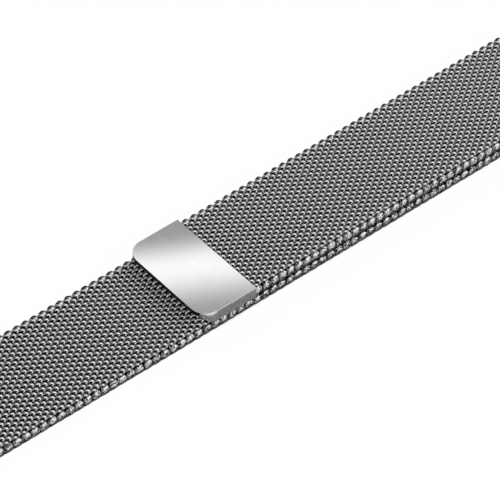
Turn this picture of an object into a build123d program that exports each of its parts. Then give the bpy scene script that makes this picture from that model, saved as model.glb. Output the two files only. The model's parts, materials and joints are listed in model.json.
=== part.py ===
from build123d import *
import math
import os

# Milanese mesh watch band lying flat and closed: the strap runs along X, turns back through a slotted
# loop frame at +X, and its tail ends in a magnetic tab that sits on the strap. Z is up, the strap's
# underside is at Z = 0 and the origin is the middle of the band's footprint. All sizes in millimetres.

# Mesh
mesh_width = 22.0
mesh_thickness = 2.1
coil_pitch = 0.975
crest_height = 0.45
crest_top_share = 0.4
layer_gap = 0.1

# Bending joints of the mesh
knuckle_gap = 0.1
knuckle_land = 0.49
link_coils = 13
left_links = 4
right_links = 6
curl_limit_deg = 15.0

# Where the joints lie, counted from the tab's two ends
tab_to_left_joint = 1.95
tab_to_peel_joint = 3.9
tab_to_right_joint = 15.6
fold_joint_to_lift_joint = 3.9
lift_joint_to_bar = 7.1

# Clasp tab
tab_length = 12.4
tab_side_clearance = 0.05
tab_side_wall = 0.3
tab_end_wall = 0.5
tab_cover_wall = 0.35
tab_corner_radius = 3.5
tab_edge_bevel = 0.2
tab_mesh_depth = 3.0
tab_plate_thickness = 0.4
tab_fit = 0.05
magnet_length = 6.5
magnet_thickness = 1.6
magnet_gap = 0.6
magnet_side_gap = 0.95

# Spring bars, for lugs 22 mm apart
lug_gap = 22.0
lug_engagement = 0.9
bar_tube_setback = 0.8
bar_radius = 0.9
bar_wall = 0.13
bar_lip_length = 0.3
tip_radius = 0.4
tip_neck_radius = 0.58
tip_flange_radius = 0.72
tip_flange_length = 0.6
tip_clearance = 0.05
tip_travel = 1.5
tip_end_bevel = 0.1
release_reach = 3.1
release_lever = 0.6
release_button_radius = 0.7
release_button_height = 0.45
spring_wall = 0.2

# End tubes that carry the spring bars
end_tube_radius = 1.4
end_tube_setback = 0.3
end_bore_radius = 0.95
notch_clearance = 0.25

# Clamp at the fixed end
clamp_length = 4.2
clamp_top_length = 2.2
clamp_slot_depth = 2.4
clamp_jaw = 0.4
clamp_edge_bevel = 0.15

# Slotted loop frame
loop_bar_radius = 0.75
loop_bar_clearance = 0.1
loop_thickness = 1.5
loop_slot_clearance = 0.4
loop_cheek_clearance = 0.4
loop_cheek = 1.3
loop_rail = 1.3
loop_neck_length = 1.9
loop_neck_thickness = 1.1
loop_corner_radius = 1.4
loop_edge_bevel = 0.25

# Sizes that follow from the ones above
half_mesh = mesh_thickness / 2
valley_height = half_mesh - crest_height
nose_radius = valley_height
socket_radius = nose_radius + knuckle_gap
socket_offset = math.sqrt(socket_radius**2 - valley_height**2)
link_length = link_coils * coil_pitch
layer_rise = mesh_thickness + layer_gap
strap_mid_z = half_mesh
tail_mid_z = strap_mid_z + layer_rise
fold_radius = loop_bar_radius + loop_bar_clearance + half_mesh
loop_bar_z = strap_mid_z + fold_radius
lug_reach = lug_gap / 2 + lug_engagement
bar_tube_length = lug_gap - 2 * bar_tube_setback
end_tube_length = lug_gap - 2 * end_tube_setback

# The loop frame leans down until its tube lies on the same surface as the strap.
loop_rail_start = fold_radius + half_mesh + loop_slot_clearance
loop_tube_reach = loop_rail_start + loop_rail + loop_neck_length + end_tube_radius / 2
loop_lean = math.degrees(math.asin((loop_bar_z - end_tube_radius) / loop_tube_reach))

# Lengths from the tab's right end, then the shift that puts the footprint's middle at X = 0
strap_end_from_tab = tab_length + tab_to_left_joint + left_links * link_length
fold_joint_from_tab = tab_to_right_joint + (right_links - 1) * link_length
bar_from_tab = fold_joint_from_tab + fold_joint_to_lift_joint + lift_joint_to_bar
left_reach = strap_end_from_tab + clamp_length + end_tube_radius
right_reach = bar_from_tab + loop_tube_reach * math.cos(math.radians(loop_lean)) + end_tube_radius
tab_right_x = (left_reach - right_reach) / 2
tab_left_x = tab_right_x - tab_length
strap_end_x = tab_right_x - strap_end_from_tab
loop_bar_x = tab_right_x + bar_from_tab
lift_joint_x = loop_bar_x - lift_joint_to_bar
peel_joint_x = tab_right_x + tab_to_peel_joint

# Joints of the strap from left to right: four left of the tab and six right of it
left_joints = [tab_left_x - tab_to_left_joint - i * link_length for i in range(left_links)]
right_joints = [tab_right_x + tab_to_right_joint + i * link_length for i in range(right_links)]


# The tail slides along the strap as both curl, so each tail joint starts short of the strap joint below
# it by what the joints between it and the fold let it slide, plus the half-angle share of its own.
def tail_joint_lead(index):
    curl = math.radians(curl_limit_deg)
    joints_to_fold = right_links - index
    return layer_rise * (joints_to_fold * math.sin(curl) + math.tan(curl / 2))


tail_joints = [x - tail_joint_lead(i) for i, x in enumerate(right_joints)]


def face_of(edges):
    return make_face(Curve() + edges)


def straight_path(start_x, end_x, mid_z):
    """A run of mesh along X, as its length and a function from distance to point and normal."""

    def at(distance):
        return (start_x + distance, mid_z, 0.0, 1.0)

    return end_x - start_x, at


def fold_path():
    """Strap to the loop bar, half a turn round it, and an S down to the level of the tail."""
    run = loop_bar_x - right_joints[-1]
    drop = 2 * fold_radius - layer_rise
    sweep_radius = (lift_joint_to_bar**2 + drop**2) / (4 * drop)
    sweep = math.asin(lift_joint_to_bar / 2 / sweep_radius)
    turn_end = run + math.pi * fold_radius
    sweep_end = turn_end + sweep_radius * sweep
    length = sweep_end + sweep_radius * sweep
    top_z = strap_mid_z + 2 * fold_radius

    def at(distance):
        if distance <= run:
            return (right_joints[-1] + distance, strap_mid_z, 0.0, 1.0)
        if distance <= turn_end:
            angle = (distance - run) / fold_radius
            normal = (-math.sin(angle), math.cos(angle))
            return (
                loop_bar_x - fold_radius * normal[0],
                loop_bar_z - fold_radius * normal[1],
                *normal,
            )
        if distance <= sweep_end:
            angle = (distance - turn_end) / sweep_radius
            centre_z = top_z - sweep_radius
            x = loop_bar_x - sweep_radius * math.sin(angle)
            return (x, centre_z + sweep_radius * math.cos(angle), math.sin(angle), -math.cos(angle))
        angle = (length - distance) / sweep_radius
        centre_z = tail_mid_z + sweep_radius
        x = lift_joint_x + sweep_radius * math.sin(angle)
        return (x, centre_z - sweep_radius * math.cos(angle), math.sin(angle), -math.cos(angle))

    return length, at


def ribbed_side(length, at, side, start_land, end_land):
    """One face of the mesh in section: a low rib over each coil, between the two flat lands."""
    count = max(1, round((length - start_land - end_land) / coil_pitch))
    step = (length - start_land - end_land) / count

    def point(distance, height):
        x, z, normal_x, normal_z = at(distance)
        return (x + side * height * normal_x, 0, z + side * height * normal_z)

    edges = []
    slope = step * (1 - crest_top_share) / 2
    for i in range(count):
        near = start_land + i * step
        rib = [
            point(near, valley_height),
            point(near + slope, half_mesh),
            point(near + step - slope, half_mesh),
            point(near + step, valley_height),
        ]
        edges += [Line(a, b) for a, b in zip(rib, rib[1:])]
    return edges, point


def mesh_link(path, start_kind, end_kind):
    """A stretch of mesh between two bending axes. A nose turns inside the next stretch's socket."""
    length, at = path
    reach = {"nose": 0.0, "socket": socket_offset, "plain": 0.0}
    land = {"nose": knuckle_land, "socket": knuckle_land, "plain": 0.0}
    bulge = {"nose": -nose_radius, "socket": socket_radius, "plain": 0.0}
    upper, upper_point = ribbed_side(length, at, 1, land[start_kind], land[end_kind])
    lower, lower_point = ribbed_side(length, at, -1, land[start_kind], land[end_kind])
    edges = list(upper) + list(lower)
    for kind, end, sign in ((start_kind, 0.0, 1), (end_kind, length, -1)):
        corner = end + sign * reach[kind]
        upper_corner = upper_point(corner, valley_height)
        lower_corner = lower_point(corner, valley_height)
        if land[kind] > 0:
            land_end = end + sign * land[kind]
            edges.append(Line(upper_corner, upper_point(land_end, valley_height)))
            edges.append(Line(lower_corner, lower_point(land_end, valley_height)))
        if kind == "plain":
            edges.append(Line(upper_corner, lower_corner))
        else:
            x, z, normal_x, normal_z = at(end)
            outward = sign * bulge[kind]
            middle = (x + outward * normal_z, 0, z - outward * normal_x)
            edges.append(ThreePointArc(upper_corner, middle, lower_corner))
    section = Pos(0, -mesh_width / 2, 0) * face_of(edges)
    return extrude(section, amount=mesh_width, dir=(0, 1, 0))


def box_between(low, high):
    sizes = [high[i] - low[i] for i in range(3)]
    centre = [(high[i] + low[i]) / 2 for i in range(3)]
    return Pos(*centre) * Box(*sizes)


def cross_cylinder(radius, low_y, high_y, x=0.0, z=0.0):
    """A round bar across the band."""
    return Pos(x, (low_y + high_y) / 2, z) * Rot(90, 0, 0) * Cylinder(radius, high_y - low_y)


def strap_links():
    """The strap's stretches from the fixed end to the fold, as name and solid."""
    stops = sorted(left_joints) + right_joints
    first = mesh_link(straight_path(strap_end_x, stops[0], strap_mid_z), "plain", "nose")
    tongue_z = (clamp_jaw, mesh_thickness - clamp_jaw)
    tongue = box_between(
        (strap_end_x - clamp_slot_depth, -mesh_width / 2, tongue_z[0]),
        (strap_end_x + coil_pitch, mesh_width / 2, tongue_z[1]),
    )
    links = [first + tongue]
    for near, far in zip(stops, stops[1:]):
        links.append(mesh_link(straight_path(near, far, strap_mid_z), "socket", "nose"))
    links.append(mesh_link(fold_path(), "socket", "socket"))
    names = [f"strap_link_{i + 1:02d}" for i in range(len(links) - 1)] + ["strap_fold"]
    return list(zip(names, links))


def tail_links():
    """The tail's stretches from the fold back to the tab, as name and solid."""
    stops = [lift_joint_x] + tail_joints[::-1] + [peel_joint_x]
    links = []
    for i, (far, near) in enumerate(zip(stops, stops[1:])):
        link = mesh_link(straight_path(near, far, tail_mid_z), "socket", "nose")
        links.append((f"tail_link_{i + 1:02d}", link))
    end_path = straight_path(tab_right_x - tab_mesh_depth, peel_joint_x, tail_mid_z)
    links.append(("tail_end", mesh_link(end_path, "plain", "nose")))
    return links


# The tab's own levels, from its underside just above the strap
tab_bottom_z = mesh_thickness + layer_gap
tab_ceiling_z = tail_mid_z + half_mesh
tab_top_z = tab_ceiling_z + tab_cover_wall
tab_inner_width = mesh_width + 2 * tab_side_clearance
tab_width = tab_inner_width + 2 * tab_side_wall


def tab_outline(length, width, corner, left_x):
    """Plan of the tab: square at the mesh end, rounded corners at the free end."""
    centre_x = left_x + length / 2
    plan = Pos(centre_x, 0, 0) * Rectangle(length, width)
    free_corners = plan.vertices().sort_by(Axis.X)[:2]
    return fillet(free_corners, corner)


def tab_shell():
    outside = tab_outline(tab_length, tab_width, tab_corner_radius, tab_left_x)
    body = Pos(0, 0, tab_bottom_z) * extrude(outside, amount=tab_top_z - tab_bottom_z)
    top_edges = body.faces().sort_by(Axis.Z)[-1].edges()
    body = chamfer(top_edges, tab_edge_bevel)
    inside_corner = tab_corner_radius - tab_side_wall
    inside = tab_outline(
        tab_length - tab_end_wall, tab_inner_width, inside_corner, tab_left_x + tab_end_wall
    )
    cavity = Pos(0, 0, tab_bottom_z) * extrude(inside, amount=tab_ceiling_z - tab_bottom_z)
    return body - cavity


def tab_bottom_plate():
    length = tab_length - tab_end_wall - tab_mesh_depth - 2 * tab_fit
    width = tab_inner_width - 2 * tab_fit
    corner = tab_corner_radius - tab_side_wall - tab_fit
    plan = tab_outline(length, width, corner, tab_left_x + tab_end_wall + tab_fit)
    return Pos(0, 0, tab_bottom_z) * extrude(plan, amount=tab_plate_thickness)


def tab_magnets():
    """Two bar magnets side by side, lying on the bottom plate."""
    chamber_left = tab_left_x + tab_end_wall
    chamber_right = tab_right_x - tab_mesh_depth
    centre_x = (chamber_left + chamber_right) / 2
    centre_z = tab_bottom_z + tab_plate_thickness + magnet_thickness / 2
    magnet_width = (tab_inner_width - magnet_gap) / 2 - magnet_side_gap
    centre_y = (magnet_gap + magnet_width) / 2
    magnet = Box(magnet_length, magnet_width, magnet_thickness)
    pair = [Pos(centre_x, side * centre_y, centre_z) * magnet for side in (-1, 1)]
    return Compound(children=pair)


# The spring bar's own places along Y, for a bar whose release lever is at the +Y end
bar_half = bar_tube_length / 2
bar_bore_radius = bar_radius - bar_wall
flange_outer_y = bar_half - bar_lip_length - tip_clearance
flange_inner_y = flange_outer_y - tip_flange_length
lever_y = bar_half - release_reach
button_reach = end_tube_radius - tip_clearance
slot_half_width = release_lever / 2 + tip_clearance
slot_low_y = lever_y - tip_travel - slot_half_width
slot_high_y = lever_y + slot_half_width


def bar_tube():
    """Thin tube with a lip at each end, slotted below for the release lever."""
    tube = cross_cylinder(bar_radius, -bar_half, bar_half)
    tube -= cross_cylinder(bar_bore_radius, bar_lip_length - bar_half, bar_half - bar_lip_length)
    tube -= cross_cylinder(tip_neck_radius + tip_clearance, -lug_reach, lug_reach)
    low = (-slot_half_width, slot_low_y, -end_tube_radius)
    return tube - box_between(low, (slot_half_width, slot_high_y, 0))


def tip_body():
    """Flange, neck and pin of one tip, at the +Y end. The pin starts just outside the end tube."""
    shoulder_y = end_tube_length / 2 + tip_clearance
    pin = cross_cylinder(tip_radius, shoulder_y, lug_reach)
    pin = chamfer(pin.edges().group_by(Axis.Y)[-1], tip_end_bevel)
    neck = cross_cylinder(tip_neck_radius, flange_outer_y, shoulder_y)
    return pin + neck + cross_cylinder(tip_flange_radius, flange_inner_y, flange_outer_y)


def plain_tip():
    return Rot(0, 0, 180) * tip_body()


def release_tip():
    """Tip with a flat lever inside the tube, bent down to a thumb button."""
    half = release_lever / 2
    arm = box_between((-half, lever_y - half, -half), (half, flange_inner_y + half, half))
    stem = box_between((-half, lever_y - half, -button_reach), (half, lever_y + half, 0))
    button_z = release_button_height / 2 - button_reach
    button = Pos(0, lever_y, button_z) * Cylinder(release_button_radius, release_button_height)
    return tip_body() + arm + stem + button


def bar_spring():
    """The compression spring as a sleeve, at the length it has with both tips pushed in."""
    low = -flange_inner_y + tip_travel + tip_clearance
    high = slot_low_y - tip_clearance
    sleeve = cross_cylinder(tip_flange_radius, low, high)
    return sleeve - cross_cylinder(tip_flange_radius - spring_wall, low, high)


def lever_notch(x, z, turn=0.0):
    """Room in an end tube for the release button and its travel."""
    half_width = release_button_radius + notch_clearance
    low_y = lever_y - tip_travel - half_width
    room = box_between((-half_width, low_y, -2 * end_tube_radius), (half_width, lever_y + half_width, 0))
    return Pos(x, 0, z) * Rot(0, turn, 0) * room


clamp_tube_x = strap_end_x - clamp_length
clamp_tube_z = end_tube_radius


def lug_recesses(limit_x):
    """What comes off both sides of the clamp so that its tube fits between the lugs."""
    low_x = clamp_tube_x - 2 * end_tube_radius
    near, far = end_tube_length / 2, mesh_width
    low_z, high_z = -end_tube_radius, 4 * end_tube_radius
    return [box_between((low_x, a, low_z), (limit_x, b, high_z)) for a, b in ((-far, -near), (near, far))]


def end_clamp():
    """Fixed end: two jaws on the mesh's tongue and the tube for the spring bar."""
    top_z = mesh_thickness
    crest = (clamp_tube_x, clamp_tube_z + end_tube_radius)
    points = [
        (strap_end_x, 0),
        (clamp_tube_x, 0),
        crest,
        (strap_end_x - clamp_top_length, top_z),
        (strap_end_x, top_z),
    ]
    outline = [(x, 0, z) for x, z in points]
    edges = [Line(a, b) for a, b in zip(outline[2:], outline[3:])]
    edges.append(Line(outline[-1], outline[0]))
    edges.append(Line(outline[0], outline[1]))
    edges.append(ThreePointArc(outline[1], (clamp_tube_x - end_tube_radius, 0, clamp_tube_z), outline[2]))
    section = Pos(0, -mesh_width / 2, 0) * face_of(edges)
    jaws = extrude(section, amount=mesh_width, dir=(0, 1, 0))
    mouth = jaws.faces().sort_by(Axis.X)[-1].edges()
    jaws = chamfer(mouth, clamp_edge_bevel)
    body = jaws - lug_recesses(clamp_tube_x + end_tube_radius)
    body -= box_between(
        (strap_end_x - clamp_slot_depth, -mesh_width, clamp_jaw),
        (strap_end_x + clamp_jaw, mesh_width, mesh_thickness - clamp_jaw),
    )
    body -= cross_cylinder(end_bore_radius, -lug_gap, lug_gap, clamp_tube_x, clamp_tube_z)
    return body - lever_notch(clamp_tube_x, clamp_tube_z)


loop_half_width = mesh_width / 2 + loop_cheek_clearance + loop_cheek


def loop_frame():
    """Slotted frame: a bar inside the fold, cheeks, an outer rail, and a tube on a short neck."""
    low_x = -loop_thickness / 2
    high_x = loop_rail_start + loop_rail
    plan = Pos((low_x + high_x) / 2, 0, 0) * Rectangle(high_x - low_x, 2 * loop_half_width)
    plan = fillet(plan.vertices().sort_by(Axis.X)[-2:], loop_corner_radius)
    ring = Pos(0, 0, -loop_thickness / 2) * extrude(plan, amount=loop_thickness)
    ring = chamfer(ring.edges().filter_by(Plane.XY), loop_edge_bevel)
    slot_half = loop_half_width - loop_cheek
    ring -= box_between((2 * low_x, -slot_half, -loop_thickness), (loop_rail_start, slot_half, loop_thickness))
    bar = cross_cylinder(loop_bar_radius, -slot_half - loop_cheek / 2, slot_half + loop_cheek / 2)
    tube_half = end_tube_length / 2
    neck_half = loop_neck_thickness / 2
    neck = box_between((high_x - loop_rail / 2, -tube_half, -neck_half), (loop_tube_reach, tube_half, neck_half))
    tube = cross_cylinder(end_tube_radius, -tube_half, tube_half, loop_tube_reach)
    body = ring + bar + neck + tube
    body -= cross_cylinder(end_bore_radius, -lug_gap, lug_gap, loop_tube_reach)
    return body - lever_notch(loop_tube_reach, 0)


def place_loop(solid):
    return Pos(loop_bar_x, 0, loop_bar_z) * Rot(0, loop_lean, 0) * solid


def place_bar(solid, at_loop):
    if at_loop:
        return place_loop(Pos(loop_tube_reach, 0, 0) * solid)
    return Pos(clamp_tube_x, 0, clamp_tube_z) * solid


def sub_parts():
    pieces = dict(strap_links() + tail_links())
    pieces["tab_shell"] = tab_shell()
    pieces["tab_bottom_plate"] = tab_bottom_plate()
    pieces["tab_magnets"] = tab_magnets()
    pieces["end_clamp"] = end_clamp()
    pieces["loop_frame"] = place_loop(loop_frame())
    for end, at_loop in (("end", False), ("loop", True)):
        pieces[f"{end}_bar_tube"] = place_bar(bar_tube(), at_loop)
        pieces[f"{end}_bar_spring"] = place_bar(bar_spring(), at_loop)
        pieces[f"{end}_plain_tip"] = place_bar(plain_tip(), at_loop)
        pieces[f"{end}_release_tip"] = place_bar(release_tip(), at_loop)
    return pieces


def report_places():
    """Joint and mount places, for whoever writes them down elsewhere."""
    loop_tube_x = loop_bar_x + loop_tube_reach * math.cos(math.radians(loop_lean))
    loop_tube_z = loop_bar_z - loop_tube_reach * math.sin(math.radians(loop_lean))
    places = {
        "left_joints": left_joints,
        "right_joints": right_joints,
        "tail_joints": tail_joints,
        "lift_joint_x": lift_joint_x,
        "peel_joint_x": peel_joint_x,
        "strap_mid_z": strap_mid_z,
        "tail_mid_z": tail_mid_z,
        "loop_bar": (loop_bar_x, loop_bar_z),
        "loop_tube": (loop_tube_x, loop_tube_z),
        "clamp_tube": (clamp_tube_x, clamp_tube_z),
        "pin_span_y": (end_tube_length / 2 + tip_clearance, lug_reach - tip_end_bevel),
        "tab": (tab_left_x, tab_right_x, tab_top_z),
        "loop_lean_deg": loop_lean,
    }
    for name, value in places.items():
        print("place", name, value)


os.makedirs("parts", exist_ok=True)
for name, solid in sub_parts().items():
    export_step(solid, f"parts/{name}.step")
report_places()
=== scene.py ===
import json
import math
from functools import cache

import bmesh
import bpy
import numpy as np
from bpy.props import FloatProperty, FloatVectorProperty, IntProperty, PointerProperty
from mathutils import Matrix, Vector

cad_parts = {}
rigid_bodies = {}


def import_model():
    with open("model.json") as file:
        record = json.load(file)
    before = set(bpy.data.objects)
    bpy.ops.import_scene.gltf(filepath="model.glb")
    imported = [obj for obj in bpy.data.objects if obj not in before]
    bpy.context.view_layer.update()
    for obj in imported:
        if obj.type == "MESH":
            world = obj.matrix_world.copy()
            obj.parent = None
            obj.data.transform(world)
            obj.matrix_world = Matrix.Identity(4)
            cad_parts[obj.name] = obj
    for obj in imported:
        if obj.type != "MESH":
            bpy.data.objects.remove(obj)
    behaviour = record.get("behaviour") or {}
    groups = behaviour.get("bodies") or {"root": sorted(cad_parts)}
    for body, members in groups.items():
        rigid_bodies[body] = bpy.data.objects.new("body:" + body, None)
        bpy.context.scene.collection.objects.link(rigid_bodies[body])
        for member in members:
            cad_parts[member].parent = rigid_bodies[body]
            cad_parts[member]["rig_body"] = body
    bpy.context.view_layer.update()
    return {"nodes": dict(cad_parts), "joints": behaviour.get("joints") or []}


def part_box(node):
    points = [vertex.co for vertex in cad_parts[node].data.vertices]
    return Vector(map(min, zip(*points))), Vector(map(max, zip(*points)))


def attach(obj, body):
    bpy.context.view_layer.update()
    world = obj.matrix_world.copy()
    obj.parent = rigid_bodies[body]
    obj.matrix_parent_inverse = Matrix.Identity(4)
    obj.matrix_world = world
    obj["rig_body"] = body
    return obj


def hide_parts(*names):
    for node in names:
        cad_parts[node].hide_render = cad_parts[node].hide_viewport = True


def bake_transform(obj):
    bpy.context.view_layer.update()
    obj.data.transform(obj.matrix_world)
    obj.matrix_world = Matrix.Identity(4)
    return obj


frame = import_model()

bl_info = {
    "name": "Milanese mesh band",
    "version": (1, 0, 0),
    "blender": (4, 5, 0),
    "location": "3D View > Sidebar > Mesh Band",
    "description": "Builds a woven steel watch band with a magnetic tab round its packed frame",
    "category": "Object",
}

JOINTS = {joint["name"]: joint for joint in frame["joints"]}
MILLIMETRE = 0.001


def mm(value):
    return value * MILLIMETRE


TINY = mm(0.01)


def joint_place(name):
    return Vector(JOINTS[name]["pos_m"])


# ---------------------------------------------------------------- sizes and colours


def length_setting(name, description, millimetres):
    return FloatProperty(name=name, description=description, default=mm(millimetres), unit="LENGTH", precision=5)


def angle_setting(name, description, degrees):
    return FloatProperty(name=name, description=description, default=math.radians(degrees), subtype="ANGLE")


def share_setting(name, description, share):
    return FloatProperty(name=name, description=description, default=share, subtype="FACTOR")


def number_setting(name, description, number):
    return FloatProperty(name=name, description=description, default=number, precision=3)


def count_setting(name, description, count):
    return IntProperty(name=name, description=description, default=count)


def colour_setting(name, description, *colour):
    return FloatVectorProperty(name=name, description=description, default=colour, subtype="COLOR")


class MeshSizes(bpy.types.PropertyGroup):
    wire: length_setting("Wire", "Diameter of the wire", 0.591)
    coil_step: length_setting("Coil step", "Distance between coils along the band", 0.975)
    turn_step: length_setting("Turn step", "Distance between the turns of a coil, across the band", 1.365)
    half_width: length_setting("Coil half width", "Half the coil's size along the band, to the wire's middle", 0.734)
    half_height: length_setting(
        "Coil half height", "Half the coil's height before pressing, to the wire's middle", 1.0025)
    fullness: number_setting("Fullness", "Below 1 the coil is boxier than an ellipse, above 1 more pointed", 1.4)
    lean: number_setting("Lean", "How far the coil leans along the band", 0.225)
    sway: number_setting("Sway", "How unevenly a turn moves across the band", -0.129)
    pressed: length_setting("Pressed thickness", "Thickness the finished mesh is pressed to", 2.1)
    press_softness: share_setting("Press softness", "How much of the crests' roundness is left after pressing", 0.435)
    steps: count_setting("Steps", "Sections in one turn of wire", 12)
    sides: count_setting("Sides", "Sides of the wire", 6)
    # Painted shade: the strap's coils are painted a little darker than the tail's.
    outer_painted_shade: share_setting(
        "Outer face dullness",
        "How much less of the wire is bright on the strap's outer face than on the face the tail shows", 0.1)
    overhang: length_setting("Overhang", "How far the edge lobes stand out of the frame's mesh on each side", 0.2)
    lobe_depth: length_setting("Edge lobe depth", "Half the size of an edge lobe across the band", 0.8)
    lobe_width: length_setting("Edge lobe width", "Half the size of an edge lobe along the band, at its foot", 1.0)
    lobe_narrowing: share_setting("Edge lobe narrowing", "Width left to the lobes at the tail's far edge", 0.86)
    lobe_height: length_setting("Edge lobe height", "Half the thickness of an edge lobe", 1.03)
    lobe_lean: length_setting("Edge lobe lean", "How far a lobe's crest stands back from its foot", -0.15)
    lobe_dents: length_setting("Edge lobe dents", "How uneven the fused wire of the lobes is", 0.08)
    lobe_inset: length_setting("Edge lobe inset", "From the lobes' outer line to the last turns", 0.75)
    # Painted shade: the far edge's lobes are painted darker on their outer shoulders.
    far_painted_shade: share_setting(
        "Far edge dullness", "How much darker the outer shoulder of the far edge's lobes is", 0.9)
    far_lobe_shift: length_setting("Far lobe shift", "Shift of the far edge's lobes along the band", 0.2)
    strap_shift: length_setting("Strap shift", "Shift of the strap's coils along the band", -0.105)
    tail_shift: length_setting("Tail shift", "Shift of the tail's coils along the band", 0.483)
    turn_shift: length_setting("Turn shift", "Shift of the turns across the band", 0.294)
    bend_reach: length_setting("Bend reach", "Length of mesh on each side of a joint that bends", 4.0)
    peel_lead: length_setting("Peel lead", "Length of mesh that bends on the tail's side of the tab's hinge", 0.4)


class TabSizes(bpy.types.PropertyGroup):
    corner: length_setting("Corner radius", "Radius of the two corners at the free end", 3.5)
    edge: length_setting("Edge radius", "Rounding of the edges round the top", 0.04)
    lip: length_setting("Lip", "Upright part of the free end, over its undercut", 1.0)
    undercut: length_setting("Undercut", "How far the free end is cut back at its foot, for a fingernail", 1.5)
    undercut_reach: length_setting("Undercut reach", "Length of the tab that the undercut takes up", 3.0)
    rim: length_setting("Rim radius", "Rounding of the thin lower rims", 0.08)
    wall: length_setting("Wall", "Thickness of the shell", 0.3)


class SpringSizes(bpy.types.PropertyGroup):
    wire: length_setting("Spring wire", "Diameter of the spring's wire", 0.2)
    turns: count_setting("Turns", "Turns of a spring", 18)
    steps: count_setting("Spring steps", "Sections in one turn of a spring", 12)
    sides: count_setting("Spring wire sides", "Sides of a spring's wire", 8)


class Finishes(bpy.types.PropertyGroup):
    wire: colour_setting("Wire", "Colour of the bright steel wire", 0.6, 0.6, 0.6)
    # Painted shade: the near-black colour of wire deep in the weave; the welded lobes' pits also darken towards it.
    wire_painted_shade_and_pits: colour_setting("Wire, deep", "Colour of the wire deep in the weave", 0.003, 0.003, 0.003)
    polished: colour_setting("Polished steel", "Colour of mirror-polished steel", 0.87, 0.87, 0.875)
    # Painted shade: near black for the face under the tab's lip, which mirrors shadowed mesh.
    shadow: colour_setting("Shadow steel", "Colour of the dark face under the tab's lip", 0.035, 0.035, 0.036)
    satin: colour_setting("Satin steel", "Colour of satin steel", 0.5, 0.5, 0.51)
    spring: colour_setting("Spring steel", "Colour of the spring wire", 0.6, 0.6, 0.62)
    nickel: colour_setting("Nickel", "Colour of the magnets' nickel plating", 0.8, 0.785, 0.76)
    floor: colour_setting("Floor", "Colour of the floor", 0.9, 0.9, 0.9)


class StudioSizes(bpy.types.PropertyGroup):
    elevation: angle_setting("Elevation", "How steeply the camera looks down", 45.4148)
    azimuth: angle_setting("Azimuth", "How far the camera is turned from looking straight across the band", 39.674)
    distance: length_setting("Distance", "From the camera to the corner of the mesh under the tab", 659.061)
    focal: number_setting("Focal length", "Focal length in widths of the picture", 7.20874)
    light_azimuth: angle_setting("Light azimuth", "Direction of the large light, from straight across the band", 128.9)
    light_elevation: angle_setting("Light elevation", "Height of the large soft light", 31.9)
    light_inner: angle_setting("Light core", "Half angle of the light's even part", 5.8)
    light_outer: angle_setting("Light edge", "Half angle at which the light has faded", 69.4)
    light_level: number_setting("Light level", "Brightness of the large soft light", 1.534)
    side_azimuth: angle_setting("Side light azimuth", "Direction of the smaller light on the other side", -72.65)
    side_elevation: angle_setting("Side light elevation", "Height of the smaller light", 10.6)
    side_inner: angle_setting("Side light core", "Half angle of the smaller light's even part", 10.0)
    side_outer: angle_setting("Side light edge", "Half angle at which the smaller light has faded", 50.0)
    side_level: number_setting("Side light level", "Brightness of the smaller light", 1.31)
    strip_level: number_setting("Strip level", "Brightness of the long soft strip light behind the band", 0.208)
    strip_width: angle_setting("Strip width", "Half the strip light's height, as an angle", 26.4)
    strip_inner: angle_setting("Strip core", "Half the length of the strip light's even part, as an angle", 20.0)
    strip_length: angle_setting("Strip length", "Half the strip light's length, as an angle", 60.0)
    core_level: number_setting("Core level", "Brightness of the strip light's thin bright core", 0.76)
    core_below: angle_setting("Core below", "How far the core reaches down from its middle", 0.57)
    core_above: angle_setting("Core above", "How far the core reaches up from its middle", 0.79)
    core_rise: angle_setting("Core rise", "How far the core stands over the mirrored view", 0.086)
    core_tilt: angle_setting("Core tilt", "How far the core is turned from level", 9.1)
    fill_level: number_setting("Fill level", "Brightness of the studio around the lights", 0.158)
    low_level: number_setting("Low level", "Brightness of the white backdrop at the floor's edge", 0.95)
    floor_size: length_setting("Floor size", "Side of the square floor", 6000.0)
    floor_gap: length_setting("Floor gap", "Distance from the floor up to the band", 0.02)
    shade_reach: length_setting("Shade reach", "How far from the band the floor is shaded", 8.0)


class BandSettings(bpy.types.PropertyGroup):
    mesh: PointerProperty(type=MeshSizes)
    tab: PointerProperty(type=TabSizes)
    spring: PointerProperty(type=SpringSizes)
    finishes: PointerProperty(type=Finishes)
    studio: PointerProperty(type=StudioSizes)


def settings():
    return bpy.context.scene.mesh_band


# ---------------------------------------------------------------- shader nodes


def node_adder(tree):
    """A function that adds a node to a tree, sets its values and links its inputs."""

    def add(kind, links=(), **values):
        node = tree.nodes.new(kind)
        for key, value in values.items():
            setattr(node, key, value)
        for source, target in links:
            tree.links.new(source, node.inputs[target])
        return node

    return add


def connect(source, target):
    target.id_data.links.new(source, target)


def map_range(add, value, start, end, low=0.0, high=1.0, kind="LINEAR"):
    """Maps a value's range from start to end onto the range from low to high."""
    node = add("ShaderNodeMapRange", [(value, "Value")], interpolation_type=kind)
    for name, number in (("From Min", start), ("From Max", end), ("To Min", low), ("To Max", high)):
        node.inputs[name].default_value = number
    return node.outputs["Result"]


def combine(add, first, second, operation):
    """Joins two values, the second of which may be a plain number."""
    node = add("ShaderNodeMath", [(first, 0)], operation=operation)
    if isinstance(second, bpy.types.NodeSocket):
        connect(second, node.inputs[1])
    else:
        node.inputs[1].default_value = second
    return node.outputs[0]


def mix_colours(add, factor, first, second, blend_type="MIX"):
    """Mixes two colours, each of which may be another node's output."""
    node = add("ShaderNodeMix", [(factor, "Factor")], data_type="RGBA", blend_type=blend_type)
    for name, colour in (("A", first), ("B", second)):
        if isinstance(colour, bpy.types.NodeSocket):
            connect(colour, node.inputs[name])
        else:
            node.inputs[name].default_value = (*colour, 1.0)
    return node.outputs["Result"]


def noise(add, place, scale, detail=2.0):
    node = add("ShaderNodeTexNoise", [(place, "Vector")])
    node.inputs["Scale"].default_value = scale
    node.inputs["Detail"].default_value = detail
    return node.outputs["Fac"]


# ---------------------------------------------------------------- finishes

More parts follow.
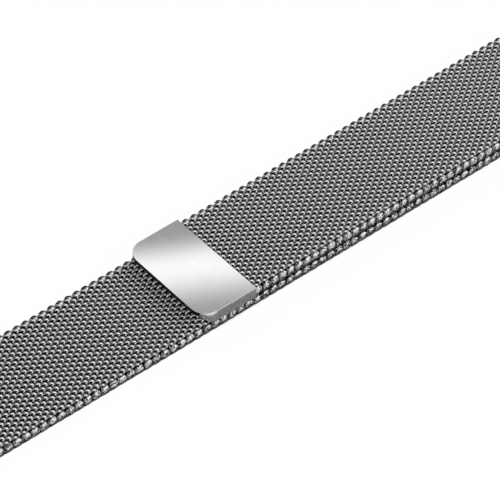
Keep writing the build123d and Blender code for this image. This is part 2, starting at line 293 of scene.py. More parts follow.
GRAIN_RANGE = (0.3, 0.7)  # nearly all of a noise texture lies between these
GRAIN_STRENGTH = 0.6
CLOUD_SCALE = 220.0  # of the slow changes in a steel's colour
EVEN_STRETCH = (1.0, 1.0, 1.0)
PAINTED_LIGHT_RANGE = (0.102, 0.2)  # values of the crest attribute from painted shade to painted bright wire
PIT_RANGE = (0.47, 0.4)  # values of the pits' noise from clean to pitted
PIT_DARKNESS = 0.85
WORN_TINT = (0.94, 0.94, 0.945)


def new_material(name):
    """A material with only a Principled shader, as (material, shader, function that adds a node)."""
    material = bpy.data.materials.new(name)
    material.use_nodes = True
    shader = material.node_tree.nodes["Principled BSDF"]
    shader.inputs["Metallic"].default_value = 1.0
    return material, shader, node_adder(material.node_tree)


def grained_steel(name, colour, roughness, grain_scale, stretch, bump_depth, unevenness=0.06):
    """Steel with a fine stretched grain in its roughness and height, and a slightly uneven colour."""
    material, shader, add = new_material(name)
    place = add("ShaderNodeTexCoord").outputs["Object"]
    stretched = add("ShaderNodeMapping", [(place, "Vector")])
    stretched.inputs["Scale"].default_value = stretch
    grain = noise(add, stretched.outputs["Vector"], grain_scale, detail=4.0)
    connect(map_range(add, grain, *GRAIN_RANGE, *roughness), shader.inputs["Roughness"])
    darker = [part * (1 - unevenness) for part in colour]
    lighter = [min(1.0, part * (1 + unevenness)) for part in colour]
    cloud = noise(add, place, CLOUD_SCALE)
    connect(mix_colours(add, cloud, darker, lighter), shader.inputs["Base Color"])
    bump = add("ShaderNodeBump", [(grain, "Height")])
    bump.inputs["Distance"].default_value = bump_depth
    bump.inputs["Strength"].default_value = GRAIN_STRENGTH
    connect(bump.outputs["Normal"], shader.inputs["Normal"])
    return material


@cache
def wire_steel():
    """Woven wire: crests painted bright and the wire deep in the weave painted dark, as painted light and shade read
    from the crest attribute, an uneven wear tint, and pitted welded lobes.
    """
    colours = settings().finishes
    material, shader, add = new_material("woven_wire")
    crest = add("ShaderNodeAttribute", attribute_name="crest").outputs["Fac"]
    welded = add("ShaderNodeAttribute", attribute_name="welded").outputs["Fac"]
    place = add("ShaderNodeTexCoord").outputs["Object"]
    grain = noise(add, place, 5200.0, detail=3.0)
    cloud = noise(add, place, 420.0)
    pits = noise(add, place, 1900.0, detail=1.0)
    # Painted light and shade: the crest attribute blends from the painted shade colour to the bright wire.
    painted_light_share = map_range(add, crest, *PAINTED_LIGHT_RANGE, kind="SMOOTHSTEP")
    tint = mix_colours(add, painted_light_share, colours.wire_painted_shade_and_pits, colours.wire)
    dark_pits = combine(add, map_range(add, pits, *PIT_RANGE, high=PIT_DARKNESS), welded, "MULTIPLY")
    tint = mix_colours(add, dark_pits, tint, colours.wire_painted_shade_and_pits)
    tint = mix_colours(add, cloud, tint, WORN_TINT, "MULTIPLY")
    connect(tint, shader.inputs["Base Color"])
    connect(map_range(add, grain, *GRAIN_RANGE, low=0.06, high=0.1), shader.inputs["Roughness"])
    lumps = add("ShaderNodeBump", [(pits, "Height"), (welded, "Strength")])
    lumps.inputs["Distance"].default_value = mm(0.25)
    bump = add("ShaderNodeBump", [(grain, "Height"), (lumps.outputs["Normal"], "Normal")])
    bump.inputs["Distance"].default_value = mm(0.004)
    bump.inputs["Strength"].default_value = 0.5
    connect(bump.outputs["Normal"], shader.inputs["Normal"])
    return material


@cache
def polished_steel():
    """Mirror-polished steel with hardly a grain."""
    colour = settings().finishes.polished
    return grained_steel(
        "polished_steel", colour, roughness=(0.02, 0.032), grain_scale=900.0, stretch=(1.0, 0.12, 1.0),
        bump_depth=mm(0.00001), unevenness=0.01)


@cache
def satin_steel():
    """Steel brushed across the band."""
    colour = settings().finishes.satin
    return grained_steel(
        "satin_steel", colour, roughness=(0.24, 0.38), grain_scale=5200.0, stretch=(1.0, 0.06, 1.0),
        bump_depth=mm(0.004))


@cache
def shadow_steel():
    """The free end's face under the tab's lip, painted near black as painted shade."""
    colour = settings().finishes.shadow
    return grained_steel(
        "shadow_steel", colour, roughness=(0.22, 0.34), grain_scale=2600.0, stretch=(1.0, 0.3, 1.0),
        bump_depth=mm(0.002))


@cache
def spring_steel():
    """Drawn spring wire."""
    colour = settings().finishes.spring
    return grained_steel(
        "spring_wire", colour, roughness=(0.2, 0.34), grain_scale=4200.0, stretch=EVEN_STRETCH,
        bump_depth=mm(0.003))


@cache
def nickel_plate():
    """The magnets' plating."""
    colour = settings().finishes.nickel
    return grained_steel(
        "nickel_plate", colour, roughness=(0.16, 0.26), grain_scale=1600.0, stretch=EVEN_STRETCH,
        bump_depth=mm(0.002))


def dress(thing, maker):
    """Gives every slot of an object the one material that a maker makes."""
    material = maker()
    if not thing.material_slots:
        thing.data.materials.append(material)
    for slot in thing.material_slots:
        slot.material = material


# ---------------------------------------------------------------- tools of the bench

RIM_ANGLE = math.radians(50)  # edges sharper than this are rounded
SHADE_ANGLE = math.radians(35)  # edges sharper than this stay crisp


def deselect_all():
    for thing in bpy.context.selected_objects:
        thing.select_set(False)
    bpy.context.view_layer.objects.active = None


def activate(thing):
    deselect_all()
    thing.select_set(True)
    bpy.context.view_layer.objects.active = thing


def apply_modifier(thing, kind, **values):
    activate(thing)
    modifier = thing.modifiers.new(kind.title(), kind)
    for key, value in values.items():
        setattr(modifier, key, value)
    bpy.ops.object.modifier_apply(modifier=modifier.name)


def round_rims(thing, radius):
    """Rounds the sharp rims of a plate or shell and shades the rest smooth."""
    apply_modifier(thing, "BEVEL", width=radius, segments=2, limit_method="ANGLE", angle_limit=RIM_ANGLE)
    activate(thing)
    bpy.ops.object.shade_smooth_by_angle(angle=SHADE_ANGLE)


def settle(thing, name, maker):
    """Applies an object's place, names it and gives it its material."""
    activate(thing)
    bpy.ops.object.transform_apply(location=True, rotation=True, scale=True)
    thing.name = thing.data.name = name
    dress(thing, maker)


def select_where(thing, edges=None, faces=None):
    """In edit mode, selects the edges or faces for which the test is true."""
    bpy.ops.mesh.select_mode(type="EDGE" if edges else "FACE")
    bpy.ops.mesh.select_all(action="DESELECT")
    bm = bmesh.from_edit_mesh(thing.data)
    for item in bm.edges if edges else bm.faces:
        item.select_set((edges or faces)(item))
    bm.select_flush_mode()
    bmesh.update_edit_mesh(thing.data)


# ---------------------------------------------------------------- woven mesh


class BandPath:
    """The middle line of the mesh, from the clamp along the strap, round the loop bar and back to the tab."""

    def __init__(self):
        self.start_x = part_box("end_clamp")[1].x
        self.strap_z = joint_place("strap_bend_right_6").z
        self.tail_z = joint_place("tail_lift").z
        self.bar = joint_place("loop_rock")
        self.radius = self.bar.z - self.strap_z
        self.lift_x = joint_place("tail_lift").x
        self.end_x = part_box("tail_end")[0].x
        drop = self.bar.z + self.radius - self.tail_z
        reach = self.bar.x - self.lift_x
        self.sweep_radius = (reach**2 + drop**2) / (4 * drop)
        self.sweep = math.asin(reach / 2 / self.sweep_radius)
        self.turn_start = self.bar.x - self.start_x
        self.turn_end = self.turn_start + math.pi * self.radius
        self.sweep_end = self.turn_end + self.sweep_radius * self.sweep
        self.tail_start = self.sweep_end + self.sweep_radius * self.sweep
        self.length = self.tail_start + self.lift_x - self.end_x

    def at(self, distance):
        """Point (x, z) and direction (x, z) at a distance from the clamp."""
        if distance <= self.turn_start:
            return (self.start_x + distance, self.strap_z), (1.0, 0.0)
        if distance <= self.turn_end:
            angle = (distance - self.turn_start) / self.radius
            point = (self.bar.x + self.radius * math.sin(angle), self.bar.z - self.radius * math.cos(angle))
            return point, (math.cos(angle), math.sin(angle))
        if distance <= self.sweep_end:
            angle = (distance - self.turn_end) / self.sweep_radius
            centre_x, centre_z = self.bar.x, self.bar.z + self.radius - self.sweep_radius
            side = 1
        elif distance <= self.tail_start:
            angle = (self.tail_start - distance) / self.sweep_radius
            centre_x, centre_z = self.lift_x, self.tail_z + self.sweep_radius
            side = -1
        else:
            return (self.lift_x - (distance - self.tail_start), self.tail_z), (-1.0, 0.0)
        x = centre_x - side * self.sweep_radius * math.sin(angle)
        z = centre_z + side * self.sweep_radius * math.cos(angle)
        return (x, z), (-math.cos(angle), -math.sin(angle))


def coil_stations(path, sizes):
    """Distances of the coils along the path: even steps on strap and tail, and a fitted step round the fold."""
    step = sizes.coil_step
    margin = 2 * step
    first = sizes.half_width + sizes.wire / 2
    strap = []
    place = first + sizes.strap_shift
    while place < path.turn_start - margin:
        strap.append(place)
        place += step
    tail = []
    place = path.length - first - sizes.tail_shift
    while place > path.tail_start + margin:
        tail.append(place)
        place -= step
    tail.reverse()
    gap = tail[0] - strap[-1]
    count = round(gap / step)
    if (len(strap) + count) % 2:
        count += 1
    fold = [strap[-1] + gap * i / count for i in range(1, count)]
    return strap + fold + tail


TURNED = [0, 3, 2, 1]  # order of a quad's corners that turns it round


def ring_quads(rings, sides):
    """The quads between neighbouring rings of vertices, each from its first corner to the next ring's."""
    start = np.arange(rings - 1)[:, None] * sides
    near = start + np.arange(sides)[None, :]
    far = start + (np.arange(sides)[None, :] + 1) % sides
    return np.stack((near, near + sides, far + sides, far), -1).reshape(-1, 4)


def wire_tube(line, sizes, half_thickness):
    """Rings of vertices round a line of points, pressed flat at the mesh's faces, with how far each faces up."""
    radius = sizes.wire / 2
    direction = np.gradient(line, axis=0)
    direction /= np.linalg.norm(direction, axis=1)[:, None]
    side = np.cross(direction, (0.0, 1.0, 0.0))
    side /= np.linalg.norm(side, axis=1)[:, None]
    other = np.cross(direction, side)
    angle = np.arange(sizes.sides) / sizes.sides * 2 * math.pi
    ring = np.cos(angle)[None, :, None] * side[:, None, :] + np.sin(angle)[None, :, None] * other[:, None, :]
    points = (line[:, None, :] + radius * ring).reshape(-1, 3)
    facing = ring[..., 2].reshape(-1)
    height = np.abs(points[:, 2])
    over = np.maximum(height - half_thickness, 0.0)
    room = sizes.half_height + radius - half_thickness
    pressed = half_thickness - sizes.press_softness * (room - over)
    untouched = np.minimum(height, half_thickness - sizes.press_softness * room)
    points[:, 2] = np.sign(points[:, 2]) * np.where(over > 0, pressed, untouched)
    rings, sides = len(line), sizes.sides
    caps = [list(range(sides)), list(range((rings - 1) * sides, rings * sides))[::-1]]
    return points, facing, ring_quads(rings, sides), caps


INWARD_FACING = 0.5  # wire that faces inward by more than this, as a sine, is painted dark as painted shade
FACING_FADE = 0.4  # and is painted bright again within this much


def one_coil(sizes, odd, half_thickness, half_length, up):
    """One wire coil lying across the band, in its own frame: X along the band, Y across, Z through the mesh."""
    turns = 2 * half_length / sizes.turn_step
    count = int(round(turns * sizes.steps))
    shift = sizes.turn_shift + (sizes.turn_step / 2 if odd else 0.0)
    angle = (np.linspace(-half_length, half_length, count + 1) - shift) / sizes.turn_step * 2 * math.pi
    across = shift + sizes.turn_step / (2 * math.pi) * (angle + sizes.sway * np.sin(2 * angle))
    cosine, sine = np.cos(angle), np.sin(angle)
    along = sizes.half_width * np.sign(cosine) * np.abs(cosine) ** sizes.fullness
    height = sizes.half_height * np.sign(sine) * np.abs(sine) ** sizes.fullness
    line = np.stack((along + sizes.lean * height, across, height), 1)
    points, facing, quads, caps = wire_tube(line, sizes, half_thickness)
    # Painted light and shade: wire towards the mesh's faces and facing out is painted bright, wire deep in the weave
    # or facing inward is painted dark.
    open_share = np.clip((facing * up + INWARD_FACING) / FACING_FADE, 0.0, 1.0)
    crest = up * points[:, 2] / half_thickness * (2 * open_share - 1)
    # Painted shade: the strap's coils lose this much of their painted brightness.
    return points, crest - (sizes.outer_painted_shade if up > 0 else 0.0), quads, caps


# An edge lobe is a stack of rings. Each row gives a ring's height, its reach along and across the band, its shift
# outward, its painted brightness and the painted brightness of its flanks (painted light and shade), all as shares of
# the lobe's own sizes.
NEAR_RINGS = (
    (-1.0, 0.96, 0.75, 0.0, 0.8, 0.7),
    (-0.8, 1.0, 0.96, 0.0, 0.7, 0.6),
    (-0.52, 1.0, 1.0, 0.0, 0.4, 0.3),
    (-0.28, 0.97, 0.94, 0.0, 1.0, 0.6),
    (0.02, 0.92, 0.78, 0.0, 1.0, 0.6),
    (0.28, 0.76, 0.56, 0.03, 1.0, 0.6),
    (0.4, 0.45, 0.3, 0.08, 1.0, 0.9),
)
FAR_RINGS = (
    (-1.0, 0.82, 0.6, 0.0, 0.8, 0.7),
    (-0.86, 0.98, 0.85, 0.0, 1.0, 0.8),
    (-0.3, 1.0, 1.0, 0.0, 1.0, 0.6),
    (0.3, 0.98, 1.0, 0.0, 1.0, 0.5),
    (0.7, 0.82, 0.92, 0.0, 0.6, 0.05),
    (0.92, 0.6, 0.72, 0.02, 1.0, 0.1),
    (1.0, 0.38, 0.42, 0.08, 1.0, 0.9),
)
NEAR, FAR = -1, 1  # the band's edges, as the sign of Y
LOBE_RINGS = {NEAR: NEAR_RINGS, FAR: FAR_RINGS}
LOBE_BLUNTNESS = {NEAR: 0.3, FAR: 0.8}  # from square at 0 to round at 1, across the band
EXTRA_ROUNDNESS = 0.2  # how much rounder the lobes are along the band
WELDED = {NEAR: 1.0, FAR: 0.35}  # how pitted the lobes are
LOBE_KINDS = 6  # different lobes at each edge, set in a random order
LOBE_SIDES = 10
LOBE_INNER_SHARE = 0.8  # reach of a lobe's inner half, towards the weave, against its outer half
SHOULDER_LEVEL = 0.5  # rings above this are a lobe's shoulder
FLANK_POWER = 1.5  # how late a ring's painted brightness turns to that of its flanks
TONE_CHANCE = (-0.2, 0.1)  # by how much the brightness differs at random


def edge_lobe(sizes, half_band, sign, up, chance):
    """The fused end of a pair of coils at the band's edge, as (points, tones, quads, caps), the tones being painted
    light and shade.
    """
    rows, bluntness = LOBE_RINGS[sign], LOBE_BLUNTNESS[sign]
    width = sizes.lobe_width * (sizes.lobe_narrowing if sign == FAR and up < 0 else 1.0)
    points, tones = [], []
    for level, reach_x, reach_y, outward, tone, flank in rows:
        centre_y = sign * (half_band - sizes.lobe_depth * (1 - outward))
        for j in range(LOBE_SIDES):
            turn = 2 * math.pi * (j + 0.5) / LOBE_SIDES
            x = math.copysign(abs(math.cos(turn)) ** (bluntness + EXTRA_ROUNDNESS), math.cos(turn))
            y = math.copysign(abs(math.sin(turn)) ** bluntness, math.sin(turn))
            outer = y * sign > 0
            dent = chance.uniform(-1.0, 1.0, 3) * sizes.lobe_dents
            along = up * (width * reach_x * x - sizes.lobe_lean * level)
            across = centre_y + sizes.lobe_depth * reach_y * y * (1.0 if outer else LOBE_INNER_SHARE)
            points.append((along + dent[0], across + dent[1] * 0.5, up * sizes.lobe_height * level))
            # Painted shade on the far edge's outer shoulders.
            shoulder_shade = sizes.far_painted_shade if sign == FAR and outer and level > SHOULDER_LEVEL else 0.0
            # Painted light and shade: each ring's brightness fades to its darker flanks, with a little random tone.
            shade = tone + (flank - tone) * abs(x) ** FLANK_POWER + chance.uniform(*TONE_CHANCE)
            tones.append(shade * (1 - shoulder_shade))
    rings = len(rows)
    quads = ring_quads(rings, LOBE_SIDES)[:, TURNED]
    caps = [list(range(LOBE_SIDES))[::-1], list(range((rings - 1) * LOBE_SIDES, rings * LOBE_SIDES))]
    dark, bright = PAINTED_LIGHT_RANGE
    return np.array(points), dark + (bright - dark) * np.clip(tones, 0.0, 1.0), quads, caps


def placed(points, path, distance):
    """Points of a coil's own frame set on the path at a distance."""
    (x, z), (tx, tz) = path.at(distance)
    along = x + points[:, 0] * tx - points[:, 2] * tz
    above = z + points[:, 0] * tz + points[:, 2] * tx
    return np.stack((along, points[:, 1], above), 1)


class MeshPiece:
    """Gathers coils and lobes and makes them one object."""

    def __init__(self):
        self.points, self.faces, self.crest, self.welded, self.count = [], [], [], [], 0

    def add(self, shape, path, distance, welded=0.0):
        points, tones, quads, caps = shape
        self.points.append(placed(points, path, distance))
        self.crest.append(tones)
        self.welded.append(np.full(len(points), welded))
        self.faces += (quads + self.count).tolist() + [[i + self.count for i in cap] for cap in caps]
        self.count += len(points)

    def make(self, name):
        data = bpy.data.meshes.new(name)
        data.from_pydata(np.concatenate(self.points), [], self.faces)
        data.validate()
        for key, values in (("crest", self.crest), ("welded", self.welded)):
            data.attributes.new(key, "FLOAT", "POINT").data.foreach_set("value", np.concatenate(values))
        data.shade_smooth()
        thing = bpy.data.objects.new(name, data)
        bpy.context.scene.collection.objects.link(thing)
        return thing


class BAND_OT_mesh(bpy.types.Operator):
    """Weaves the wire coils along the whole band in stretches, one round each of the mesh's joints, and hides the
    frame's mesh nodes they stand in for
    """

    bl_idname = "mesh_band.mesh"
    bl_label = "Woven mesh"

    def execute(self, context):
        sizes = settings().mesh
        path = BandPath()
        joints = self.joints_along(path)
        limits = [(before[0] + after[0]) / 2 for before, after in zip(joints, joints[1:])]
        pieces = self.weave(sizes, path, limits)
        for number, (piece, (place, name, before, after, nodes)) in enumerate(zip(pieces, joints), start=1):
            thing = piece.make(f"woven_mesh_{number:02d}")
            dress(thing, wire_steel)
            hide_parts(*nodes)
            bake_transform(thing)
        return {"FINISHED"}

    @staticmethod
    def weave(sizes, path, limits):
        """The stretches of mesh that the limits divide, filled with their coils and edge lobes."""
        low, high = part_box("strap_link_05")
        half_band, half_thickness = (high.y - low.y) / 2 + sizes.overhang, sizes.pressed / 2
        half_length = half_band - sizes.lobe_inset
        chance = np.random.default_rng(7)
        coils = {
            (odd, up): one_coil(sizes, odd, half_thickness, half_length, up)
            for odd in (0, 1) for up in (1, -1)
        }
        lobes = {
            (sign, up): [edge_lobe(sizes, half_band, sign, up, chance) for _ in range(LOBE_KINDS)]
            for sign in (NEAR, FAR) for up in (1, -1)
        }
        shifts = {NEAR: 0.0, FAR: sizes.far_lobe_shift}
        stations = coil_stations(path, sizes)
        pieces = [MeshPiece() for _ in range(len(limits) + 1)]
        for i, distance in enumerate(stations):
            piece = pieces[sum(distance > limit for limit in limits)]
            up = 1 if path.at(distance)[1][0] >= 0 else -1
            piece.add(coils[i % 2, up], path, distance)
            if i % 2 == 0 and i + 1 < len(stations):
                middle = (distance + stations[i + 1]) / 2
                for sign, shift in shifts.items():
                    lobe = lobes[sign, up][int(chance.integers(LOBE_KINDS))]
                    piece.add(lobe, path, middle + up * shift, WELDED[sign])
        return pieces

    @staticmethod
    def joints_along(path):
        """The mesh's joints in order along the path: distance, name, body before, body after, nodes they bend."""
        names = [f"strap_bend_left_{i}" for i in (4, 3, 2, 1)] + [f"strap_bend_right_{i}" for i in range(1, 7)]
        names += ["tail_lift"] + [f"tail_bend_{i}" for i in range(6, 0, -1)] + ["tab_peel"]
        mesh_nodes = {}
        for node, thing in frame["nodes"].items():
            if node.startswith(("strap_link", "strap_fold", "tail_link", "tail_end")):
                mesh_nodes[thing["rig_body"]] = node
        found = []
        for name in names:
            joint = JOINTS[name]
            centre = joint_place(name)
            if name.startswith("strap"):
                place = centre.x - path.start_x
            else:
                place = path.tail_start + path.lift_x - centre.x
            before, after = joint["parent"], joint["child"]
            if name.startswith("strap_bend_left"):
                before, after = after, before
            found.append((place, name, before, after, [mesh_nodes[before], mesh_nodes[after]]))
        return found


# ---------------------------------------------------------------- clasp tab


class BAND_OT_tab(bpy.types.Operator):
    """Shapes the polished shell of the tab and its bottom plate, and finishes its magnets"""

    bl_idname = "mesh_band.tab"
    bl_label = "Clasp tab"

    def execute(self, context):
        sizes = settings().tab
        top_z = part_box("tab_shell")[1].z
        self.shape_shell(sizes, *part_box("tab_shell"))
        self.shape_plate(sizes, *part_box("tab_bottom_plate"), top_z)
        dress(frame["nodes"]["tab_magnets"], nickel_plate)
        return {"FINISHED"}

    def shape_shell(self, sizes, low, high):
        shell = self.rounded_block(low, high, sizes.corner)
        # The shell is open below and towards the mesh.
        select_where(shell, faces=lambda f: f.normal.z < -0.9 or f.normal.x > 0.9)
        bpy.ops.mesh.delete(type="FACE")
        bpy.ops.mesh.select_all(action="SELECT")
        bpy.ops.mesh.bisect(plane_co=(0.0, 0.0, high.z - sizes.lip), plane_no=(0.0, 0.0, 1.0))

        def round_top(edge):
            """An edge of the top, but not the straight one towards the mesh."""
            return (all(v.co.z > high.z - TINY for v in edge.verts)
                    and not all(v.co.x > high.x - TINY for v in edge.verts))

        select_where(shell, edges=round_top)
        bpy.ops.mesh.bevel(offset=sizes.edge, segments=3, affect="EDGES", clamp_overlap=True)
        bpy.ops.object.mode_set(mode="OBJECT")
        self.cut_under(shell, sizes, low, high.z)
        apply_modifier(shell, "SOLIDIFY", thickness=sizes.wall, offset=-1.0, use_even_offset=True)
        round_rims(shell, sizes.rim)
        apply_modifier(shell, "WEIGHTED_NORMAL", keep_sharp=True, weight=90)
        settle(shell, "tab_cover", polished_steel)
        shell.data.materials.append(shadow_steel())
        # The free end's face gets the painted shade, but not the edge that rounds into the top.
        for face in shell.data.polygons:
            if face.normal.x < -0.85 and face.normal.z < 0.3:
                face.material_index = 1
        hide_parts("tab_shell")
        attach(shell, "tab")

    def shape_plate(self, sizes, low, high, top_z):
        plate = self.rounded_block(low, high, sizes.corner - sizes.wall)
        bpy.ops.object.mode_set(mode="OBJECT")
        self.cut_under(plate, sizes, low, top_z)
        round_rims(plate, sizes.rim)
        settle(plate, "tab_plate", satin_steel)
        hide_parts("tab_bottom_plate")
        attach(plate, "tab")

    @staticmethod
    def rounded_block(low, high, corner):
        """A block with two rounded corners at its free end, left in edit mode."""
        deselect_all()
        bpy.ops.mesh.primitive_cube_add(size=1.0, location=(low + high) / 2, scale=high - low)
        block = bpy.context.object
        bpy.ops.object.transform_apply(location=True, rotation=True, scale=True)
        bpy.ops.object.mode_set(mode="EDIT")

        def free_corner(edge):
            first, second = (v.co for v in edge.verts)
            return max(first.x, second.x) < low.x + TINY and abs(first.z - second.z) > TINY

        select_where(block, edges=free_corner)
        bpy.ops.mesh.bevel(offset=corner, segments=14, affect="EDGES")
        return block

    @staticmethod
    def cut_under(thing, sizes, low, top_z):
        """Slopes the free end back below its lip."""
        lip_z = top_z - sizes.lip
        for v in thing.data.vertices:
            depth = min(1.0, max(0.0, (lip_z - v.co.z) / (lip_z - low.z)))
            nearness = max(0.0, 1 - (v.co.x - low.x) / sizes.undercut_reach)
            v.co.x += sizes.undercut * depth * nearness**2


# ---------------------------------------------------------------- ends of the band


class BAND_OT_loop(bpy.types.Operator):
    """Finishes the slotted loop frame"""

    bl_idname = "mesh_band.loop"
    bl_label = "Loop frame"

    def execute(self, context):
        dress(frame["nodes"]["loop_frame"], satin_steel)
        return {"FINISHED"}


class BAND_OT_clamp(bpy.types.Operator):
    """Finishes the clamp at the fixed end"""

    bl_idname = "mesh_band.clamp"
    bl_label = "End clamp"

    def execute(self, context):
        dress(frame["nodes"]["end_clamp"], satin_steel)
        return {"FINISHED"}


class BAND_OT_spring_bars(bpy.types.Operator):
    """Winds the springs inside both spring bars and finishes their tubes and tips"""

    bl_idname = "mesh_band.spring_bars"
    bl_label = "Spring bars"

    def execute(self, context):
        for end in ("end", "loop"):
            for part in ("bar_tube", "plain_tip", "release_tip"):
                dress(frame["nodes"][f"{end}_{part}"], satin_steel)
            node = f"{end}_bar_spring"
            spring = self.wind_spring(settings().spring, *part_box(node))
            settle(spring, f"{end}_spring", spring_steel)
            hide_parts(node)
            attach(spring, frame["nodes"][node]["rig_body"])
        return {"FINISHED"}

    @staticmethod
    def wind_spring(sizes, low, high):
        """A compression spring along Y that fills a box."""
        deselect_all()
        radius = sizes.wire / 2
        coil_radius = (high.z - low.z) / 2 - radius
        length = high.y - low.y - sizes.wire
        bpy.ops.mesh.primitive_circle_add(vertices=sizes.sides, radius=radius)
        thing = bpy.context.object
        bpy.ops.object.mode_set(mode="EDIT")
        bpy.ops.transform.translate(value=(coil_radius, 0.0, 0.0))
        bpy.ops.object.mode_set(mode="OBJECT")
        thing.location = ((low.x + high.x) / 2, low.y + radius, (low.z + high.z) / 2)
        apply_modifier(
            thing, "SCREW", axis="Y", angle=2 * math.pi, iterations=sizes.turns,
            screw_offset=length / sizes.turns, steps=sizes.steps, render_steps=sizes.steps, use_smooth_shade=True)
        bpy.ops.object.mode_set(mode="EDIT")
        bpy.ops.mesh.select_all(action="SELECT")
        bpy.ops.mesh.fill_holes(sides=0)
        bpy.ops.mesh.select_all(action="SELECT")
        bpy.ops.mesh.normals_make_consistent(inside=False)
        bpy.ops.object.mode_set(mode="OBJECT")
        return thing


# ---------------------------------------------------------------- studio

PICTURE_WIDTH = 500  # pixels
TARGET_PIXELS = (-31.6, 19.3)  # where the target shows, right of and below the picture's middle
TARGET_INSET = (mm(0.78), mm(1.4625))  # the target's place, from the tab's hinge end and from the middle of the band
FLOOR_SHADES = ((0.2, 0.02), (0.5, 0.45), (0.86, 0.2), (1.0, 1.0))  # openness to the sky, share of the colour; painted shade: darkest under the band, lighter at its edge, darker again a little further out, full colour in the open
SEEN_OPENNESS = (0.25, 0.5)  # openness from which the camera sees the floor as plain white
MIRRORED_OPENNESS = (0.88, 0.91)  # openness from which polished steel mirrors it as white; below it, mirrors show the floor's painted shade
WHITE_SHARE = 0.99
STRIP_EVEN = 0.02  # half height of the strip light's even part, as a sine
CORE_EVEN = 0.0005  # the same of its core
BACKDROP_HEIGHTS = (0.07, 0.14)  # sines between which the white backdrop fades into the studio


def direction_to(azimuth, elevation):
    """The direction at an azimuth, from straight across the band, and an elevation."""
    return (math.sin(azimuth) * math.cos(elevation), math.cos(azimuth) * math.cos(elevation), math.sin(elevation))


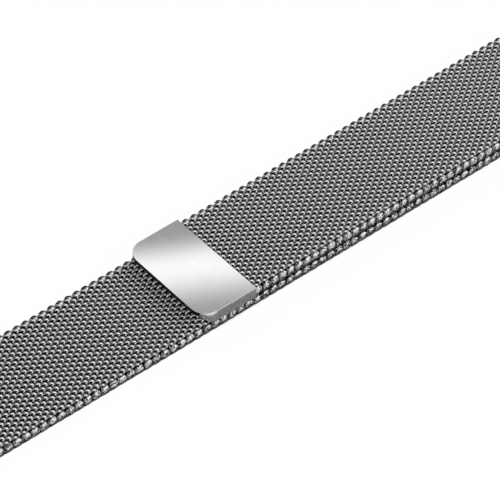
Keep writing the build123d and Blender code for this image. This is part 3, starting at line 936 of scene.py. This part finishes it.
class BAND_OT_stage(bpy.types.Operator):
    """Sets up the camera, the pale floor and the soft studio light"""

    bl_idname = "mesh_band.stage"
    bl_label = "Stage"

    def execute(self, context):
        studio = settings().studio
        self.make_camera(context.scene, studio)
        self.make_floor(studio)
        self.make_light(context.scene, studio)
        context.scene.view_settings.view_transform = "Standard"
        return {"FINISHED"}

    @staticmethod
    def make_camera(scene, studio):
        turn = studio.azimuth
        forward = Vector(direction_to(turn, -studio.elevation))
        right = Vector((math.cos(turn), -math.sin(turn), 0.0))
        above = right.cross(forward)
        inset_x, inset_y = TARGET_INSET
        target = Vector((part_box("tab_shell")[1].x - inset_x, -inset_y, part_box("strap_link_05")[1].z))
        aim_right, aim_down = (pixels / PICTURE_WIDTH / studio.focal for pixels in TARGET_PIXELS)
        place = target - studio.distance * (forward + right * aim_right - above * aim_down)
        data = bpy.data.cameras.new("camera")
        camera = bpy.data.objects.new("camera", data)
        scene.collection.objects.link(camera)
        scene.camera = camera
        data.sensor_width = 36.0
        data.lens = 36.0 * studio.focal
        data.clip_start, data.clip_end = 0.02, 20.0
        camera.matrix_world = Matrix.Translation(place) @ Matrix((right, above, -forward)).transposed().to_4x4()

    @staticmethod
    def make_floor(studio):
        """A matt floor that keeps the band's shadow, with painted shade in its colour where the ambient occlusion
        finds it shut in, and shows white elsewhere to the camera and in mirrors.
        """
        deselect_all()
        bpy.ops.mesh.primitive_plane_add(size=studio.floor_size, location=(0, 0, -studio.floor_gap))
        floor = bpy.context.object
        floor.name = "floor"
        material, shader, add = new_material("floor")
        shader.inputs["Metallic"].default_value = 0.0
        shader.inputs["Roughness"].default_value = 0.9
        rays = add("ShaderNodeLightPath").outputs
        sky = add("ShaderNodeAmbientOcclusion", samples=8)
        sky.inputs["Distance"].default_value = studio.shade_reach
        openness = sky.outputs["AO"]

        # Painted shade: the floor's colour darkens with the ambient occlusion round the band.
        shaded = add("ShaderNodeValToRGB", [(openness, "Fac")])
        stops = shaded.color_ramp.elements
        stops[0].position, stops[1].position = FLOOR_SHADES[0][0], FLOOR_SHADES[-1][0]
        for position, _ in FLOOR_SHADES[1:-1]:
            stops.new(position)
        for stop, (_, share) in zip(stops, FLOOR_SHADES):
            stop.color = (*[part * share for part in settings().finishes.floor], 1.0)
        connect(shaded.outputs["Color"], shader.inputs["Base Color"])

        seen = combine(add, rays["Is Camera Ray"], map_range(add, openness, *SEEN_OPENNESS), "MULTIPLY")
        mirrored = combine(add, rays["Is Glossy Ray"], map_range(add, openness, *MIRRORED_OPENNESS), "MULTIPLY")
        either = combine(add, seen, mirrored, "MAXIMUM")
        any_of = combine(add, either, rays["Is Transmission Ray"], "MAXIMUM")
        share = combine(add, any_of, WHITE_SHARE, "MULTIPLY")
        white = add("ShaderNodeEmission")
        white.inputs["Strength"].default_value = 1.0
        mixed = add("ShaderNodeMixShader", [(share, 0), (shader.outputs[0], 1), (white.outputs[0], 2)])
        connect(mixed.outputs[0], material.node_tree.nodes["Material Output"].inputs["Surface"])
        floor.data.materials.append(material)

    @staticmethod
    def make_light(scene, studio):
        """Lights the band from the world: a large light, a side light, a strip with a bright core, and a fill."""
        world = bpy.data.worlds.new("studio")
        scene.world = world
        world.use_nodes = True
        add = node_adder(world.node_tree)
        background = world.node_tree.nodes["Background"]
        place = add("ShaderNodeTexCoord").outputs["Generated"]

        def along(vector):
            dot = add("ShaderNodeVectorMath", [(place, 0)], operation="DOT_PRODUCT")
            dot.inputs[1].default_value = vector
            return dot.outputs["Value"]

        def fade(value, start, end, low, high):
            return map_range(add, value, start, end, low, high, "SMOOTHSTEP")

        def cone(vector, outer, inner, level):
            """A round light, full up to its inner half angle and gone at its outer one."""
            return fade(along(vector), math.cos(outer), math.cos(inner), 0.0, level)

        large = cone(direction_to(studio.light_azimuth, studio.light_elevation),
                     studio.light_outer, studio.light_inner, studio.light_level)
        side = cone(direction_to(studio.side_azimuth, studio.side_elevation),
                    studio.side_outer, studio.side_inner, studio.side_level)

        turn = studio.azimuth
        mirrored = Vector(direction_to(turn, studio.elevation))
        beside = Vector((math.cos(turn), -math.sin(turn), 0.0))
        off_strip = beside.cross(mirrored)
        off_core = (off_strip * math.cos(studio.core_tilt) + beside * math.sin(studio.core_tilt)
                    - mirrored * math.sin(studio.core_rise))
        off_middle = add("ShaderNodeMath", [(along(off_strip), 0)], operation="ABSOLUTE").outputs[0]
        soft = fade(off_middle, STRIP_EVEN, math.sin(studio.strip_width), studio.strip_level, 0.0)
        above = fade(along(off_core), CORE_EVEN, math.sin(studio.core_above), studio.core_level, 0.0)
        below = fade(along(off_core), -CORE_EVEN, -math.sin(studio.core_below), 1.0, 0.0)
        core = combine(add, above, below, "MULTIPLY")
        span = cone(mirrored, studio.strip_length, studio.strip_inner, 1.0)
        strip = combine(add, combine(add, soft, core, "ADD"), span, "MULTIPLY")

        lights = combine(add, combine(add, large, side, "ADD"), strip, "ADD")
        filled = combine(add, lights, studio.fill_level, "ADD")
        height = add("ShaderNodeSeparateXYZ", [(place, 0)]).outputs["Z"]
        low = map_range(add, height, *BACKDROP_HEIGHTS, 1.0, 0.0)
        mixed = add("ShaderNodeMix", [(low, 0), (filled, 2)], data_type="FLOAT")
        mixed.inputs[3].default_value = studio.low_level
        connect(mixed.outputs[0], background.inputs["Strength"])
        background.inputs["Color"].default_value = (1.0, 1.0, 1.0, 1.0)


# ---------------------------------------------------------------- panel and registration

STEPS = ("stage", "mesh", "tab", "loop", "clamp", "spring_bars")
GROUPS = ("mesh", "tab", "spring", "finishes", "studio")


class BAND_PT_panel(bpy.types.Panel):
    """Lists what builds the band"""

    bl_label = "Mesh band"
    bl_idname = "BAND_PT_panel"
    bl_space_type = "VIEW_3D"
    bl_region_type = "UI"
    bl_category = "Mesh Band"

    def draw(self, context):
        for step in STEPS:
            self.layout.operator(f"mesh_band.{step}")
        for group in GROUPS:
            box = self.layout.box()
            part = getattr(context.scene.mesh_band, group)
            for key in part.__annotations__:
                box.prop(part, key)


CLASSES = (
    MeshSizes, TabSizes, SpringSizes, Finishes, StudioSizes, BandSettings,
    BAND_OT_stage, BAND_OT_mesh, BAND_OT_tab, BAND_OT_loop, BAND_OT_clamp, BAND_OT_spring_bars, BAND_PT_panel,
)


def register():
    for kind in CLASSES:
        bpy.utils.register_class(kind)
    bpy.types.Scene.mesh_band = PointerProperty(type=BandSettings)


def unregister():
    del bpy.types.Scene.mesh_band
    for kind in reversed(CLASSES):
        bpy.utils.unregister_class(kind)


def main():
    register()
    for step in STEPS:
        getattr(bpy.ops.mesh_band, step)()


if __name__ == "__main__":
    main()
